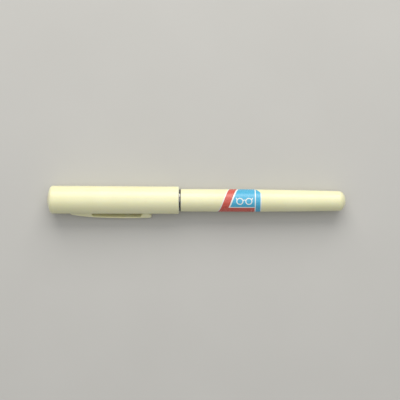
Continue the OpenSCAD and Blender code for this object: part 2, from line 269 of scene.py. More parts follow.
def scratch_lines(stretch, turn):
    """Thin lines where a stretched noise crosses its middle value."""
    squeezed = add(scratches, "Mapping", {"Vector": given["Position"], "Rotation": (0, turn, turn),
                                          "Scale": (stretch, 1.0, 1.0)})
    field = add(scratches, "TexNoise", {"Vector": squeezed.outputs[0], "Scale": given["Fineness"],
                                        "Detail": 1.0, "Distortion": 0.3})
    off_middle = sums(scratches, "ABSOLUTE", sums(scratches, "SUBTRACT", field.outputs["Fac"], 0.5))
    return sums(scratches, "SUBTRACT", 1.0, ramped(scratches, off_middle, 0.0, 0.006))


lengthwise = scratch_lines(0.04, 0.06)
slanting = scratch_lines(0.09, -0.5)
both = sums(scratches, "MAXIMUM", lengthwise, slanting)
patches = add(scratches, "TexNoise", {"Vector": given["Position"], "Scale": 0.35, "Detail": 2.0})
threshold = sums(scratches, "SUBTRACT", 0.75, sums(scratches, "MULTIPLY", given["Amount"], 0.4))
where = ramped(scratches, sums(scratches, "SUBTRACT", patches.outputs["Fac"], threshold), 0.0, 0.15)
scratches.links.new(sums(scratches, "MULTIPLY", both, where), result["Mask"])
print("group:", scratches.name)

# %% Dust specks
dust, given, result = start_group(
    "dust_specks", [("Position", None), ("Spacing", 1.2), ("Amount", 0.3)], ["Mask"])
cells = add(dust, "TexVoronoi", {"Vector": given["Position"],
                                 "Scale": sums(dust, "DIVIDE", 1.0, given["Spacing"])})
pick = add(dust, "SeparateColor", {"Color": cells.outputs["Color"]})
speck_size = sums(dust, "MULTIPLY", pick.outputs["Green"], 0.075)
speck = ramped(dust, sums(dust, "SUBTRACT", speck_size, cells.outputs["Distance"]), 0.0, 0.02)
kept = sums(dust, "LESS_THAN", pick.outputs["Red"], given["Amount"])
dust.links.new(sums(dust, "MULTIPLY", speck, kept), result["Mask"])
print("group:", dust.name)

# %% Edge band: rubbed wear, and painted shade on metal
# One band near a place along the pen: rubbed wear on the ivory parts, painted shade at the metal parts'
# edges.
wear_and_shade_band, given, result = start_group(
    "wear_and_shade_edge", [("Position", None), ("Edge", 0.0), ("Reach", 0.5)], ["Mask"])
along = add(wear_and_shade_band, "SeparateXYZ", {0: given["Position"]}).outputs["X"]
distance = sums(wear_and_shade_band, "ABSOLUTE", sums(wear_and_shade_band, "SUBTRACT", along, given["Edge"]))
nearness = sums(wear_and_shade_band, "SUBTRACT", 1.0, sums(wear_and_shade_band, "DIVIDE", distance, given["Reach"]), clamp=True)
breakup = add(wear_and_shade_band, "TexNoise", {"Vector": given["Position"], "Scale": 1.6, "Detail": 4.0})
wear_and_shade = sums(wear_and_shade_band, "SUBTRACT", sums(wear_and_shade_band, "ADD", nearness, breakup.outputs["Fac"]), 0.9)
wear_and_shade_band.links.new(ramped(wear_and_shade_band, wear_and_shade, 0.0, 0.35), result["Mask"])
print("group:", wear_and_shade_band.name)

# %% [markdown]
# ## Starting a finish
#
# Every material reads Object coordinates, so its pattern stays put when a part slides or turns. They
# are multiplied to millimetres, so that a scale of 1 in a noise means one millimetre on the pen.

# %% Material helper


def start_finish(name):
    """A material, its tree, its surface shader and the position in millimetres."""
    finish = bpy.data.materials.new(name)
    finish.use_nodes = True
    tree = finish.node_tree
    surface = tree.nodes["Principled BSDF"]
    place = tree.nodes.new("ShaderNodeTexCoord").outputs["Object"]
    position = add(tree, "VectorMath", {0: place, "Scale": 1 / MM}, operation="SCALE").outputs[0]
    return finish, tree, surface, position


def bumped(tree, surface, height, depth, strength=1.0):
    """Feeds a height to the surface as a bump, where 1 in the height is depth millimetres."""
    bump = add(tree, "Bump", {"Height": height, "Distance": depth * MM, "Strength": strength})
    tree.links.new(bump.outputs["Normal"], surface.inputs["Normal"])


def dress(finish, *names):
    """Gives a finish to CAD nodes."""
    for name in names:
        nodes[name].data.materials.clear()
        nodes[name].data.materials.append(finish)


# %% [markdown]
# ## Ivory plastic
#
# The cap, the clip and the barrel are polished ABS in a warm ivory. Light goes a little way into such
# plastic, so it gets a touch of subsurface scattering. The gloss is high but not a mirror: the polish
# drifts along the part, scratches scatter it, and the edges that the hand finds first are duller and
# a little paler. The three parts differ only in where their worn edges are.

# %% Ivory finish
IVORY = (0.84, 0.815, 0.525, 1)
IVORY_SHADE = (0.81, 0.785, 0.485, 1)
IVORY_WORN = (0.87, 0.85, 0.63, 1)
DUST_GREY = (0.52, 0.49, 0.42, 1)


def ivory_finish(name, worn_edges):
    """Ivory plastic. worn_edges are (place along the pen, reach) in millimetres."""
    finish, tree, surface, position = start_finish(name)
    moulding = place_group(tree, skin, Position=position, Sink_size=7.0, Grain_size=0.09)
    marks = place_group(tree, scratches, Position=position, Amount=0.75, Fineness=2.2)["Mask"]
    specks = place_group(tree, dust, Position=position, Spacing=1.6, Amount=0.22)["Mask"]
    wear = 0.0
    for edge, reach in worn_edges:
        band = place_group(tree, wear_and_shade_band, Position=position, Edge=edge, Reach=reach)["Mask"]
        wear = sums(tree, "MAXIMUM", band, wear)
    colour = blended(tree, moulding["Drift"], IVORY, IVORY_SHADE)
    colour = blended(tree, sums(tree, "MULTIPLY", wear, 0.6), colour, IVORY_WORN)
    colour = blended(tree, sums(tree, "MULTIPLY", marks, 0.22), colour, DUST_GREY)
    colour = blended(tree, sums(tree, "MULTIPLY", specks, 0.7), colour, DUST_GREY)
    tree.links.new(colour, surface.inputs["Base Color"])
    gloss = sums(tree, "MULTIPLY_ADD", moulding["Drift"], 0.05, 0.29)
    gloss = sums(tree, "MULTIPLY_ADD", marks, 0.18, gloss)
    gloss = sums(tree, "MULTIPLY_ADD", wear, 0.16, gloss)
    gloss = sums(tree, "MULTIPLY_ADD", specks, 0.35, gloss, clamp=True)
    tree.links.new(gloss, surface.inputs["Roughness"])
    surface.inputs["IOR"].default_value = 1.52
    surface.inputs["Subsurface Weight"].default_value = 0.18
    surface.inputs["Subsurface Radius"].default_value = (1.0, 0.8, 0.4)
    surface.inputs["Subsurface Scale"].default_value = 0.6 * MM
    relief = sums(tree, "SUBTRACT", moulding["Height"], sums(tree, "MULTIPLY", marks, 0.12))
    bumped(tree, surface, sums(tree, "MULTIPLY_ADD", specks, 0.9, relief), 0.009)
    return finish


_, clip_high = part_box("clip_strap")
cap_ivory = ivory_finish("cap_ivory", [(cap_end, 0.9), (cap_start + 0.8, 1.8)])
barrel_ivory = ivory_finish("barrel_ivory", [(barrel_start, 0.7), (barrel_end, 2.4)])
clip_ivory = ivory_finish("clip_ivory", [(clip_high.x / MM, 1.6), (clip_high.x / MM - 11, 3.0)])
dress(cap_ivory, "cap_shell")
dress(barrel_ivory, "barrel_shell")
print("finishes:", [m.name for m in (cap_ivory, barrel_ivory, clip_ivory)])

# %% [markdown]
# ## Plated trim ring
#
# The ring in the gap is plated metal, nearly a mirror, and its colour is painted dark to stand in for
# the shade and the dark reflections in the narrow gap. What tells it from a perfect mirror is a fine
# turned grain round the ring, a faint haze, and darker bands at its two edges, which are painted shade
# where the cap and the barrel close in on it, with some dirt that collects where no cloth reaches. The
# turned grain is a wave along the axis. The brush's ferrule is drawn metal, which is paler and duller,
# so the same recipe makes it with other numbers, darker end bands included.

# %% Plated finish


def turned_metal_finish(name, colour, tarnish, roughness, line_scale, shade_and_dirt_edges):
    """Metal with fine turned lines round the pen's axis."""
    finish, tree, surface, position = start_finish(name)
    lines = add(tree, "TexWave", {"Vector": position, "Scale": line_scale, "Distortion": 1.2,
                                  "Detail": 3.0, "Detail Scale": 2.0}, bands_direction="X")
    haze = add(tree, "TexNoise", {"Vector": position, "Scale": 0.9, "Detail": 4.0})
    # Darker bands at the given edges: painted shade where the part meets its neighbours, with some dirt.
    shade_and_dirt = 0.0
    for edge, reach in shade_and_dirt_edges:
        band = place_group(tree, wear_and_shade_band, Position=position, Edge=edge, Reach=reach)["Mask"]
        shade_and_dirt = sums(tree, "MAXIMUM", band, shade_and_dirt)
    tone = blended(tree, ramped(tree, haze.outputs["Fac"], 0.35, 0.75), colour, tarnish)
    tree.links.new(blended(tree, sums(tree, "MULTIPLY", shade_and_dirt, 0.5), tone, (0.12, 0.11, 0.10, 1)),
                   surface.inputs["Base Color"])
    gloss = sums(tree, "MULTIPLY_ADD", haze.outputs["Fac"], 0.12, roughness)
    tree.links.new(sums(tree, "MULTIPLY_ADD", shade_and_dirt, 0.3, gloss, clamp=True), surface.inputs["Roughness"])
    surface.inputs["Metallic"].default_value = 1.0
    bumped(tree, surface, lines.outputs["Fac"], 0.004)
    return finish


ring_start, ring_end, ring_r = span("trim_ring")
# The ring's dark colour is painted shade and dark reflection; its edge bands are painted shade with some
# dirt.
plated = turned_metal_finish("plated_ring", (0.20, 0.195, 0.185, 1), (0.12, 0.115, 0.11, 1), 0.10, 5.0,
                             [(ring_start, 0.25), (ring_end, 0.12)])
ferrule_start, ferrule_end, ferrule_r = span("brush_ferrule")
ferrule_metal = turned_metal_finish("drawn_ferrule", (0.86, 0.84, 0.80, 1), (0.70, 0.67, 0.61, 1), 0.18,
                                    2.4, [(ferrule_end, 0.5), (ferrule_start + 9.3, 0.6)])
dress(plated, "trim_ring")
dress(ferrule_metal, "brush_ferrule")
print("ring radius", round(ring_r, 2), "ferrule radius", round(ferrule_r, 2))

# %% [markdown]
# ## Black and milky mouldings, rubber and resin
#
# The core's black parts are spark-eroded in the mould, which leaves a fine even pebble that hides
# finger marks. The hidden sleeves are unpigmented plastic, milky and waxy. Rubber is darker and
# duller, with a bloom of grey where it has been handled. One recipe with different numbers makes all
# of them, because what differs is the size of the grain, the gloss and the tint of the marks.

# %% Moulded finish


def moulded_finish(name, colour, shade, roughness, grain_mm, relief_mm, marks_tint, mark_amount, inner=0.0):
    """Plastic or rubber with a pebbled mould texture, marks and dust."""
    finish, tree, surface, position = start_finish(name)
    pebble = add(tree, "TexVoronoi", {"Vector": position, "Scale": 1 / grain_mm}, feature="SMOOTH_F1")
    moulding = place_group(tree, skin, Position=position, Sink_size=3.5, Grain_size=grain_mm * 0.6)
    marks = place_group(tree, scratches, Position=position, Amount=mark_amount, Fineness=3.0)["Mask"]
    specks = place_group(tree, dust, Position=position, Spacing=0.9, Amount=0.3)["Mask"]
    tone = blended(tree, moulding["Drift"], colour, shade)
    tone = blended(tree, sums(tree, "MULTIPLY", marks, 0.35), tone, marks_tint)
    tone = blended(tree, sums(tree, "MULTIPLY", specks, 0.5), tone, DUST_GREY)
    tree.links.new(tone, surface.inputs["Base Color"])
    gloss = sums(tree, "MULTIPLY_ADD", moulding["Drift"], 0.1, roughness)
    tree.links.new(sums(tree, "MULTIPLY_ADD", specks, 0.25, gloss, clamp=True), surface.inputs["Roughness"])
    surface.inputs["Subsurface Weight"].default_value = inner
    surface.inputs["Subsurface Scale"].default_value = 1.2 * MM
    height = sums(tree, "MULTIPLY_ADD", moulding["Height"], 0.6, pebble.outputs["Distance"])
    bumped(tree, surface, height, relief_mm)
    return finish


black_plastic = moulded_finish("eroded_black", (0.022, 0.022, 0.024, 1), (0.034, 0.034, 0.036, 1),
                               0.42, 0.16, 0.02, (0.10, 0.10, 0.10, 1), 0.6)
soft_rubber = moulded_finish("soft_rubber", (0.018, 0.018, 0.018, 1), (0.045, 0.044, 0.042, 1),
                             0.62, 0.10, 0.015, (0.09, 0.088, 0.085, 1), 0.35)
milky_plastic = moulded_finish("milky_plastic", (0.78, 0.76, 0.70, 1), (0.70, 0.68, 0.61, 1),
                               0.38, 0.30, 0.01, (0.85, 0.84, 0.80, 1), 0.4, inner=0.4)
amber_resin = moulded_finish("amber_resin", (0.42, 0.22, 0.06, 1), (0.30, 0.14, 0.03, 1),
                             0.20, 0.50, 0.01, (0.55, 0.40, 0.22, 1), 0.1, inner=0.3)
dress(black_plastic, "grip_section", "nose_cone", "tip_stem", "cup_insert", "brush_socket")
dress(soft_rubber, "cap_friction_ring", "barrel_friction_ring", "tip_cup")
dress(milky_plastic, "cap_liner", "sponge_cup", "sponge_retainer")
dress(amber_resin, "hair_plug")
print("dressed nodes:", sum(1 for n in nodes.values() if n.data.materials))

# %% [markdown]
# ## Helpers for modelling
#
# An operator acts on everything that is selected, so each new piece starts with nothing selected.
# Pieces that are round about the pen's axis are made as on a lathe: one circle is extruded from point
# to point of an outline, and each new ring is moved along and scaled to its radius.

# %% Modelling helpers


def nothing_selected():
    """Leaves edit mode and deselects every object."""
    if bpy.context.object and bpy.context.object.mode != "OBJECT":
        bpy.ops.object.mode_set(mode="OBJECT")
    bpy.ops.object.select_all(action="DESELECT")


def only(piece):
    """Selects one piece and makes it the active one."""
    nothing_selected()
    piece.select_set(True)
    bpy.context.view_layer.objects.active = piece


def named(name):
    """Names the new piece and puts its place into its mesh."""
    piece = bpy.context.object
    piece.name = name
    piece.data.name = name
    bpy.ops.object.transform_apply(location=True, rotation=True, scale=True)
    return piece


def turned_piece(name, outline, sides=64, closed=False):
    """A lathe-turned piece from an outline of (x, radius) in millimetres; closed joins its ends."""
    nothing_selected()
    x, radius = outline[0]
    bpy.ops.mesh.primitive_circle_add(vertices=sides, radius=radius * MM, location=(x * MM, 0, 0),
                                      rotation=(0, math.pi / 2, 0),
                                      fill_type="NOTHING" if closed else "TRIFAN")
    piece = named(name)
    bpy.ops.object.mode_set(mode="EDIT")
    bpy.ops.mesh.select_all(action="SELECT")
    if not closed:
        bpy.ops.mesh.select_all(action="DESELECT")
        bpy.ops.mesh.select_mode(type="EDGE")
        bpy.ops.mesh.select_non_manifold()
    for new_x, new_radius in outline[1:]:
        bpy.ops.mesh.extrude_region_move(TRANSFORM_OT_translate={"value": ((new_x - x) * MM, 0, 0)})
        change = new_radius / radius
        bpy.ops.transform.resize(value=(1, change, change), center_override=(new_x * MM, 0, 0))
        x, radius = new_x, max(new_radius, 1e-6)
    bpy.ops.mesh.select_all(action="SELECT")
    bpy.ops.mesh.remove_doubles(threshold=0.002 * MM)
    bpy.ops.mesh.normals_make_consistent(inside=False)
    bpy.ops.object.mode_set(mode="OBJECT")
    bpy.ops.object.shade_smooth_by_angle(angle=math.radians(40))
    return piece


def use(piece, kind, **settings):
    """Adds a modifier and applies it."""
    bpy.context.view_layer.objects.active = piece
    modifier = piece.modifiers.new(kind.lower(), kind)
    for name, value in settings.items():
        setattr(modifier, name, value)
    bpy.ops.object.modifier_apply(modifier=modifier.name)


def finish_piece(piece, material, slot, *replaced):
    """Gives a piece its material and hides the CAD nodes it stands for; slot is not used."""
    piece.data.materials.clear()
    piece.data.materials.append(material)
    if replaced:
        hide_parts(*replaced)
    print(piece.name, "faces:", len(piece.data.polygons))


# %% [markdown]
# ## The clip
#
# On the real pen the clip is one moulding: a solid root that grows out of the cap, a thin strap that
# stands off it, and a rounded bump that presses on the cap. CAD has it in two, because the strap
# flexes. Here it is one grid of faces, laid out as deep as the clip is long, given thickness, and then
# shaped by place: the outer face follows the same low arch, the root's underside drops into the cap's
# wall, and the underside at the free end swells into the bump.

# %% Measure the clip
flex = next(j for j in frame["joints"] if j["name"] == "clip_flex")
across = Vector(flex["axis"]).normalized()
outward = across.cross(Vector((1, 0, 0))).normalized()
hinge = Vector(flex["pos_m"])
clip_points = [v.co for name in ("clip_foot", "clip_strap") for v in nodes[name].data.vertices]
clip_top = max(p.dot(outward) for p in clip_points)
crest = max((p for p in clip_points), key=lambda p: p.dot(outward)).x
free_x = max(p.x for p in clip_points)
root_x = min(p.x for p in clip_points)
strap_points = [v.co for v in nodes["clip_strap"].data.vertices]
bump_low = min(p.dot(outward) for p in strap_points if p.x > free_x - 4 * MM)
half_wide = max(abs(p.dot(across)) for p in clip_points)
STRAP = 0.8 * MM              # thickness of the strap
BUMP = 5.0 * MM               # length of the bump at the free end
ARCH_RISE = 2.85 * MM         # from the root's outer end up to the arch's crest
wall_z = cap_r * MM - 0.5 * MM       # inside the cap's wall, so the root has no seam
surface_out = clip_top - ARCH_RISE
print("clip from", round(root_x / MM, 2), "to", round(free_x / MM, 2), "top", round(clip_top / MM, 2))

# %% Lay out the clip
nothing_selected()
bpy.ops.mesh.primitive_grid_add(x_subdivisions=190, y_subdivisions=14, size=1)
clip = bpy.context.object
clip.name = "clip"
clip.scale = (free_x - root_x, 2 * half_wide, 1)
bpy.ops.object.transform_apply(location=False, rotation=False, scale=True)
bpy.ops.object.mode_set(mode="EDIT")
bpy.ops.mesh.select_all(action="SELECT")
bpy.ops.mesh.extrude_region_move(TRANSFORM_OT_translate={"value": (0, 0, -STRAP)})
bpy.ops.mesh.select_all(action="SELECT")
bpy.ops.mesh.normals_make_consistent(inside=False)
bpy.ops.object.mode_set(mode="OBJECT")
print("clip grid:", len(clip.data.vertices), "points")

# %% Shape the clip by place
CORNER = 0.9 * MM             # radius of the free corners, seen from outside
EDGE_ROUND = 0.28 * MM        # radius of the long edges
FLANK_TAPER = 0.3 * MM        # how much each flank draws in towards the free end
CROWN = 0.10 * MM             # how much lower the outer face is at its edges
ROOT_DROP = 1.2 * MM          # length over which the underside drops into the cap's wall
LEAST_WIDTH = 0.02 * MM


def half_width(x):
    """Half of the clip's width: a round root, straight flanks and rounded free corners."""
    share = (x - root_x) / (free_x - root_x)
    flank = half_wide - FLANK_TAPER * share
    from_root, from_free = x - root_x, free_x - x
    if from_root < flank:
        flank = math.sqrt(max(0.0, flank**2 - (flank - from_root) ** 2))
    if from_free < CORNER:
        flank -= CORNER - math.sqrt(max(0.0, CORNER**2 - (CORNER - from_free) ** 2))
    return max(flank, LEAST_WIDTH)


def arch(x):
    """Distance of the clip's outer face from the pen's axis."""
    share = min(1.0, abs(x - crest) / (crest - root_x))
    return surface_out + (clip_top - surface_out) * math.sqrt(1 - share**2)


def underside(x):
    """Distance of the clip's inner face from the pen's axis."""
    inner = arch(x) - STRAP
    if x > free_x - BUMP:
        share = (x - free_x + BUMP / 2) / (BUMP / 2)
        inner -= (inner - bump_low) * math.sqrt(max(0.0, 1 - share**2))
    root_share = (hinge.x - x) / ROOT_DROP
    if root_share > 0:
        inner += (wall_z - inner) * min(1.0, root_share) ** 0.6
    return inner


for point in clip.data.vertices:
    x = (root_x + free_x) / 2 + point.co.x
    side = point.co.y / half_wide
    wide = half_width(x)
    shoulder = max(0.0, (abs(side) * wide - wide + EDGE_ROUND) / EDGE_ROUND)
    fall = EDGE_ROUND * (1 - math.sqrt(max(0.0, 1 - shoulder**2)))
    crown = CROWN * side**2
    is_outer = point.co.z > -STRAP / 2
    height = arch(x) - crown - fall if is_outer else underside(x) + 0.6 * fall
    point.co = Vector((x, 0, 0)) + across * (side * wide) + outward * height
clip.data.update()
only(clip)
bpy.ops.object.mode_set(mode="EDIT")
bpy.ops.mesh.select_all(action="SELECT")
bpy.ops.mesh.remove_doubles(threshold=0.002 * MM)
bpy.ops.mesh.normals_make_consistent(inside=False)
bpy.ops.object.mode_set(mode="OBJECT")
bpy.ops.object.shade_smooth_by_angle(angle=math.radians(50))
finish_piece(clip, clip_ivory, "cream_plastic", "clip_foot", "clip_strap")
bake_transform(clip)

# %% [markdown]
# ## The print on the barrel
#
# The barrel carries a small printed panel in sky blue, red and white. Its drawing here is a plain
# pictogram of spectacles beside a red band. Ink is a thin layer with crisp edges, so each colour is a
# real sheet of faces, drawn flat and then wrapped round the barrel: the flat drawing's second
# direction becomes the angle. The panel is one grid that is cut by straight lines, and each face takes
# the ink of the field that it lies in.

# %% Wrap a flat drawing round the barrel
RING_STEP = 0.05 * MM         # points this close along the barrel count as one ring
LEAST_SHARE = 0.86            # of the barrel's radius; narrower rings are in the bore or at the tail

barrel_points = [(v.co.x, math.hypot(v.co.y, v.co.z)) for v in nodes["barrel_shell"].data.vertices]


def barrel_radius(x):
    """Outer radius of the barrel at x, from the nearest rings of the CAD mesh on both sides."""
    before = max((p for p in barrel_rings if p[0] <= x), default=barrel_rings[0])
    after = min((p for p in barrel_rings if p[0] > x), default=barrel_rings[-1])
    if after[0] <= before[0]:
        return before[1]
    share = (x - before[0]) / (after[0] - before[0])
    return before[1] + (after[1] - before[1]) * share


rings = {}
for x, radius in barrel_points:
    key = round(x / RING_STEP)
    if radius > rings.get(key, (0, 0))[1]:
        rings[key] = (x, radius)
barrel_rings = sorted(r for r in rings.values() if r[1] > LEAST_SHARE * barrel_r * MM)


def wrapped(piece, lift):
    """Bends a flat drawing, in metres along x and around y, onto the barrel."""
    for point in piece.data.vertices:
        radius = barrel_radius(point.co.x)
        angle = point.co.y / (barrel_r * MM)
        reach = radius + lift
        point.co = Vector((point.co.x, reach * math.sin(angle), reach * math.cos(angle)))
    piece.data.update()


print("barrel rings:", len(barrel_rings))

# %% Inks
SKY_BLUE = (0.06, 0.39, 0.61, 1)
PRINT_RED = (0.56, 0.075, 0.055, 1)
PRINT_WHITE = (0.84, 0.86, 0.82, 1)


def ink_finish(name, colour, faded):
    """Screen-printed ink under lacquer: a little uneven, with a few pinholes."""
    finish, tree, surface, position = start_finish(name)
    mottle = add(tree, "TexNoise", {"Vector": position, "Scale": 2.2, "Detail": 4.0})
    mesh_marks = add(tree, "TexWave", {"Vector": position, "Scale": 3.4, "Distortion": 0.4},
                     bands_direction="DIAGONAL")
    pinholes = place_group(tree, dust, Position=position, Spacing=0.45, Amount=0.16)["Mask"]
    tone = blended(tree, ramped(tree, mottle.outputs["Fac"], 0.35, 0.75), colour, faded)
    tree.links.new(blended(tree, sums(tree, "MULTIPLY", pinholes, 0.6), tone, IVORY),
                   surface.inputs["Base Color"])
    tree.links.new(sums(tree, "MULTIPLY_ADD", mottle.outputs["Fac"], 0.14, 0.20),
                   surface.inputs["Roughness"])
    height = sums(tree, "MULTIPLY_ADD", mottle.outputs["Fac"], 0.5, mesh_marks.outputs["Fac"])
    bumped(tree, surface, height, 0.004)
    return finish


blue_ink = ink_finish("blue_ink", SKY_BLUE, (0.10, 0.45, 0.66, 1))
red_ink = ink_finish("red_ink", PRINT_RED, (0.64, 0.14, 0.10, 1))
white_ink = ink_finish("white_ink", PRINT_WHITE, (0.78, 0.80, 0.74, 1))
print("inks:", blue_ink.name, red_ink.name, white_ink.name)

# %% Cut the panel into fields
PANEL_LEFT = 19.3 * MM        # where the slanted left edge crosses the middle line
PANEL_RIGHT = 36.8 * MM
PANEL_SLANT = 0.37            # how far the left edge moves along for each step around
PANEL_HALF = 8.6 * MM
RED_WIDTH = 3.4 * MM
RED_TOP = -3.6 * MM           # the red strip along the bottom ends here
RULE = 0.42 * MM              # width of a white rule
STRIP_WIDTH = 2.6 * MM        # the blue strip at the right end, with its rule
PANEL_SPARE = 8 * MM          # room at the ends for the slanted cuts
PANEL_LIFT = 0.012 * MM

nothing_selected()
bpy.ops.mesh.primitive_grid_add(x_subdivisions=60, y_subdivisions=56, size=1)
panel = bpy.context.object
panel.scale = (PANEL_RIGHT - PANEL_LEFT + PANEL_SPARE, 2 * PANEL_HALF, 1)
panel.location = ((PANEL_RIGHT + PANEL_LEFT) / 2, 0, 0)
panel = named("print_panel")
slanted = Vector((1, -PANEL_SLANT, 0)).normalized()
level = Vector((0, 1, 0))
upright = Vector((1, 0, 0))


def cut(point, normal, keep=None):
    """Cuts the drawing along a line; keep is the side that stays, or None for both."""
    bpy.ops.mesh.select_all(action="SELECT")
    bpy.ops.mesh.bisect(plane_co=point, plane_no=normal, clear_inner=keep == "ahead",
                        clear_outer=keep == "behind", threshold=0.001 * MM)


lines = {
    "left": (Vector((PANEL_LEFT, 0, 0)), slanted),
    "red_left": (Vector((PANEL_LEFT + RULE, 0, 0)), slanted),
    "red_right": (Vector((PANEL_LEFT + RULE + RED_WIDTH, 0, 0)), slanted),
    "blue_left": (Vector((PANEL_LEFT + 2.6 * RULE + RED_WIDTH, 0, 0)), slanted),
    "strip_left": (Vector((PANEL_RIGHT - STRIP_WIDTH - RULE, 0, 0)), upright),
    "strip_right": (Vector((PANEL_RIGHT - STRIP_WIDTH, 0, 0)), upright),
    "blue_right": (Vector((PANEL_RIGHT - RULE, 0, 0)), upright),
    "right": (Vector((PANEL_RIGHT, 0, 0)), upright),
    "red_top": (Vector((0, RED_TOP, 0)), level),
    "blue_low": (Vector((0, RED_TOP + RULE, 0)), level),
    "corner": (Vector((PANEL_RIGHT, 3.4 * MM, 0)), Vector((4.5, 3.2, 0)).normalized()),
}
bpy.ops.object.mode_set(mode="EDIT")
for name, (point, normal) in lines.items():
    keep = {"left": "ahead", "right": "behind", "corner": "behind"}.get(name)
    cut(point, normal, keep)
bpy.ops.object.mode_set(mode="OBJECT")
print("panel faces:", len(panel.data.polygons))

# %% Ink each field
for ink in (white_ink, red_ink, blue_ink):
    panel.data.materials.append(ink)


def past(place, name):
    """True if a place on the drawing lies ahead of a named line."""
    point, normal = lines[name]
    return (place - point).dot(normal) > 0


for face in panel.data.polygons:
    place = face.center
    in_band = past(place, "red_left") and not past(place, "red_right")
    in_bottom = past(place, "red_left") and not past(place, "red_top") and not past(place, "strip_left")
    in_field = past(place, "blue_left") and not past(place, "strip_left") and past(place, "blue_low")
    in_strip = past(place, "strip_right") and not past(place, "blue_right")
    face.material_index = 1 if in_band or in_bottom else 2 if in_field or in_strip else 0
wrapped(panel, PANEL_LIFT)
use(panel, "SOLIDIFY", thickness=0.01 * MM, offset=1)
only(panel)
bpy.ops.object.shade_smooth_by_angle(angle=math.radians(30))
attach(panel, "barrel")
print("panel faces:", len(panel.data.polygons))

# %% [markdown]
# ## The spectacles pictogram
#
# Each lens rim is a circle whose edge is extruded inwards to a flat ring. The bridge is half of a
# smaller ring, and each side arm is a short bar. They are joined, wrapped like the panel and lifted
# just above it.

# %% Draw the pictogram
RIM_OUTER, RIM_INNER = 1.6 * MM, 1.18 * MM
LENS_GAP = 4.1 * MM
ICON_X, ICON_Y = 29.0 * MM, -0.4 * MM
ICON_LIFT = 0.026 * MM


def flat_ring(name, x, y, outer, inner, sides=64):
    """A circle whose edge is extruded inwards, in metres on the flat drawing."""
    nothing_selected()
    bpy.ops.mesh.primitive_circle_add(vertices=sides, radius=outer, location=(x, y, 0))
    ring = named(name)
    bpy.ops.object.mode_set(mode="EDIT")
    bpy.ops.mesh.select_all(action="SELECT")
    bpy.ops.mesh.extrude_region_move(TRANSFORM_OT_translate={"value": (0, 0, 0)})
    bpy.ops.transform.resize(value=(inner / outer, inner / outer, 1), center_override=(x, y, 0))
    bpy.ops.object.mode_set(mode="OBJECT")
    return ring


def flat_bar(name, x, y, length, width, turn):
    """A straight bar on the flat drawing."""
    nothing_selected()
    bpy.ops.mesh.primitive_plane_add(size=1, location=(x, y, 0), rotation=(0, 0, turn))
    bpy.context.object.scale = (length, width, 1)
    return named(name)


left_rim = flat_ring("left_rim", ICON_X - LENS_GAP / 2, ICON_Y, RIM_OUTER, RIM_INNER)
right_rim = flat_ring("right_rim", ICON_X + LENS_GAP / 2, ICON_Y, RIM_OUTER, RIM_INNER)
bridge = flat_ring("bridge", ICON_X, ICON_Y + 0.1 * MM, 0.72 * MM, 0.36 * MM, 40)
bpy.ops.object.mode_set(mode="EDIT")
cut((0, ICON_Y + 0.3 * MM, 0), (0, 1, 0), keep="ahead")
bpy.ops.object.mode_set(mode="OBJECT")
arm_reach = LENS_GAP / 2 + RIM_OUTER - 0.1 * MM
arms = [flat_bar("arm", ICON_X + side * arm_reach, ICON_Y + 1.1 * MM, 1.2 * MM, 0.4 * MM,
                 side * math.radians(66)) for side in (-1, 1)]
nothing_selected()
for part in (left_rim, right_rim, bridge, *arms):
    part.select_set(True)
bpy.context.view_layer.objects.active = left_rim
bpy.ops.object.join()
pictogram = bpy.context.object
pictogram.name = "print_spectacles"
bpy.ops.object.mode_set(mode="EDIT")
bpy.ops.mesh.select_all(action="SELECT")
bpy.ops.mesh.subdivide(number_cuts=1)
bpy.ops.mesh.normals_make_consistent(inside=False)
bpy.ops.object.mode_set(mode="OBJECT")
wrapped(pictogram, ICON_LIFT)
bpy.ops.object.mode_set(mode="EDIT")
bpy.ops.mesh.select_mode(type="FACE")
bpy.ops.mesh.select_all(action="DESELECT")
bpy.ops.object.mode_set(mode="OBJECT")
for face in pictogram.data.polygons:
    face.select = face.normal.dot(Vector((0, face.center.y, face.center.z))) < 0
print("faces to turn outwards:", sum(face.select for face in pictogram.data.polygons))
bpy.ops.object.mode_set(mode="EDIT")
bpy.ops.mesh.flip_normals()
bpy.ops.object.mode_set(mode="OBJECT")
use(pictogram, "SOLIDIFY", thickness=0.008 * MM, offset=1)
finish_piece(pictogram, white_ink, "print_ink")
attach(pictogram, "barrel")

# %% [markdown]
# ## The folded rubber neck
#
# The cleaning tip stands on a rubber neck with three soft folds, so that it can lean as it follows a
# curved lens. It is turned as one outline, with each fold a smooth dip.

# %% Turn the neck
neck_low, neck_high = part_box("tip_neck")
neck_start, neck_end = neck_high.x / MM, neck_low.x / MM
neck_r = (neck_high.z - neck_low.z) / 2 / MM
FOLDS, FOLD_PITCH, FOLD_DEEP = 3, 1.1, 0.5
PLAIN_END = 2.35              # smooth length before the first fold
LIP = 0.35                    # length and depth of the rounded lips
NECK_STEPS = 84
START_FACE_R, END_FACE_R = 1.65, 1.1
fold_zone = (neck_start - PLAIN_END, neck_start - PLAIN_END - FOLDS * FOLD_PITCH)


def neck_radius(x):
    """The neck's radius: a rounded lip at each end and dips between."""
    lip = max(0.0, 1 - min(neck_start - x, x - neck_end) / LIP)
    radius = neck_r - LIP * lip**2
    if fold_zone[1] < x < fold_zone[0]:
        turn = (fold_zone[0] - x) / FOLD_PITCH
        radius -= FOLD_DEEP * math.sin(math.pi * turn) ** 2
    return radius


places = [neck_start + (neck_end - neck_start) * i / NECK_STEPS for i in range(NECK_STEPS + 1)]
outline = [(neck_start, START_FACE_R), *((x, neck_radius(x)) for x in places), (neck_end, END_FACE_R)]
neck = turned_piece("neck_rubber", outline, 56)
finish_piece(neck, soft_rubber, "soft_rubber", "tip_neck")
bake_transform(neck)

# %% [markdown]
# ## Chamois pad
#
# The pad is a disc of short-napped leather, dished to fit a lens and black with carbon powder. It is
# turned with many fine rings, and every point is then nudged by a noise, so that the nap has real
# height at its rim as well as in the material.

